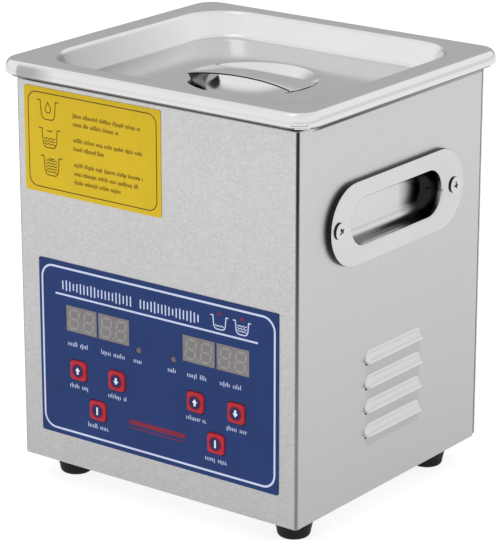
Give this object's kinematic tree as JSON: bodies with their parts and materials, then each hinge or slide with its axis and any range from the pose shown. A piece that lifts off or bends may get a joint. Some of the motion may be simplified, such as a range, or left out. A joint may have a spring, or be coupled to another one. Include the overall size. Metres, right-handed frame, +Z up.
{
  "type": "ultrasonic cleaner",
  "caption": "Box-shaped steel ultrasonic bath with a lift-off pressed lid, side finger cups, front keypad with displays, rear fan and mains inlet.",
  "frame": {"origin": "centre of the base, on the plane the feet rest on", "axes": "+X to the right seen from the front, the front with its keypad faces -Y, +Z up"},
  "size_m": [0.178, 0.161, 0.207],
  "materials": {
    "case_steel": "brushed stainless sheet",
    "polished_steel": "bright satin stainless",
    "zinc_screws": "zinc plated",
    "fan_wire": "bright plated wire",
    "foot_rubber": "matt black",
    "label_film": "printed yellow film",
    "overlay_film": "printed blue film",
    "display_resin": "smoked resin face",
    "light_resin": "clear red",
    "key_plastic": "red, printed",
    "black_plastic": "fine texture",
    "board_laminate": "solder mask",
    "brass": "plain",
    "cable_sheath": "vinyl",
    "heater_silicone": "matt",
    "ceramic": "fired",
    "coil_black": "varnished",
    "bare_aluminium": "turned",
    "bare_steel": "turned",
    "fuse_glass": "clear"
  },
  "bodies": {
    "case": {"case_wrap": "case_steel", "back_panel": "case_steel", "base_plate": "case_steel", "case_screws": "zinc_screws", "foot_front_left": "foot_rubber", "foot_front_right": "foot_rubber", "foot_back_left": "foot_rubber", "foot_back_right": "foot_rubber", "foot_screws": "zinc_screws", "tank": "polished_steel", "rim_gasket": "foot_rubber", "heater_pads": "heater_silicone", "thermal_cutout": "ceramic", "temp_sensor": "brass", "handle_left": "polished_steel", "handle_right": "polished_steel", "handle_screws": "zinc_screws", "handle_nuts": "zinc_screws", "care_label": "label_film", "panel_overlay": "overlay_film", "display_left_outer": "display_resin", "display_left_inner": "display_resin", "display_right_inner": "display_resin", "display_right_outer": "display_resin", "light_left": "light_resin", "light_right": "light_resin", "key_switches": "black_plastic", "control_board": "board_laminate", "standoffs": "brass", "ribbon_cable": "cable_sheath", "driver_board": "board_laminate", "transformer": "coil_black", "heat_sink": "bare_aluminium", "capacitors": "coil_black", "relay": "coil_black", "sonic_front_mass": "bare_aluminium", "sonic_rings": "ceramic", "sonic_tabs": "brass", "sonic_back_mass": "bare_steel", "sonic_bolt": "bare_steel", "fan_frame": "black_plastic", "fan_guard": "fan_wire", "fan_screws": "zinc_screws", "inlet_body": "black_plastic", "inlet_pins": "brass", "leads": "cable_sheath"},
    "lid": {"lid": "polished_steel", "lid_strap": "polished_steel"},
    "basket": {"basket": "case_steel", "basket_bails": "polished_steel"},
    "fan_rotor": {"fan_rotor": "black_plastic"},
    "fuse_drawer": {"fuse_drawer": "black_plastic", "fuse": "fuse_glass"},
    "key_left_up": {"key_left_up": "key_plastic"},
    "key_left_down": {"key_left_down": "key_plastic"},
    "key_right_up": {"key_right_up": "key_plastic"},
    "key_right_down": {"key_right_down": "key_plastic"},
    "key_heat": {"key_heat": "key_plastic"},
    "key_sound": {"key_sound": "key_plastic"}
  },
  "joints": [
    {"name": "lid_lift", "type": "slide", "parent": "case", "child": "lid", "axis": [0, 0, 1], "range_m": [0, 0.3]},
    {"name": "basket_lift", "type": "slide", "parent": "case", "child": "basket", "axis": [0, 0, 1], "range_m": [0, 0.12]},
    {"name": "fan_spin", "type": "hinge", "parent": "case", "child": "fan_rotor", "pos_m": [-0.034, 0.064, 0.057], "axis": [0, 1, 0], "continuous": true},
    {"name": "fuse_drawer_slide", "type": "slide", "parent": "case", "child": "fuse_drawer", "axis": [0, 1, 0], "range_m": [0, 0.015]},
    {"name": "key_left_up_press", "type": "slide", "parent": "case", "child": "key_left_up", "axis": [0, 1, 0], "range_m": [0, 0.0006], "stiffness_N_per_m": 800},
    {"name": "key_left_down_press", "type": "slide", "parent": "case", "child": "key_left_down", "axis": [0, 1, 0], "range_m": [0, 0.0006], "stiffness_N_per_m": 800},
    {"name": "key_right_up_press", "type": "slide", "parent": "case", "child": "key_right_up", "axis": [0, 1, 0], "range_m": [0, 0.0006], "stiffness_N_per_m": 800},
    {"name": "key_right_down_press", "type": "slide", "parent": "case", "child": "key_right_down", "axis": [0, 1, 0], "range_m": [0, 0.0006], "stiffness_N_per_m": 800},
    {"name": "key_heat_press", "type": "slide", "parent": "case", "child": "key_heat", "axis": [0, 1, 0], "range_m": [0, 0.0006], "stiffness_N_per_m": 800},
    {"name": "key_sound_press", "type": "slide", "parent": "case", "child": "key_sound", "axis": [0, 1, 0], "range_m": [0, 0.0006], "stiffness_N_per_m": 800}
  ],
  "couplings": [
    {"joint": "basket_lift", "follows": "lid_lift", "ratio": 0.4}
  ]
}
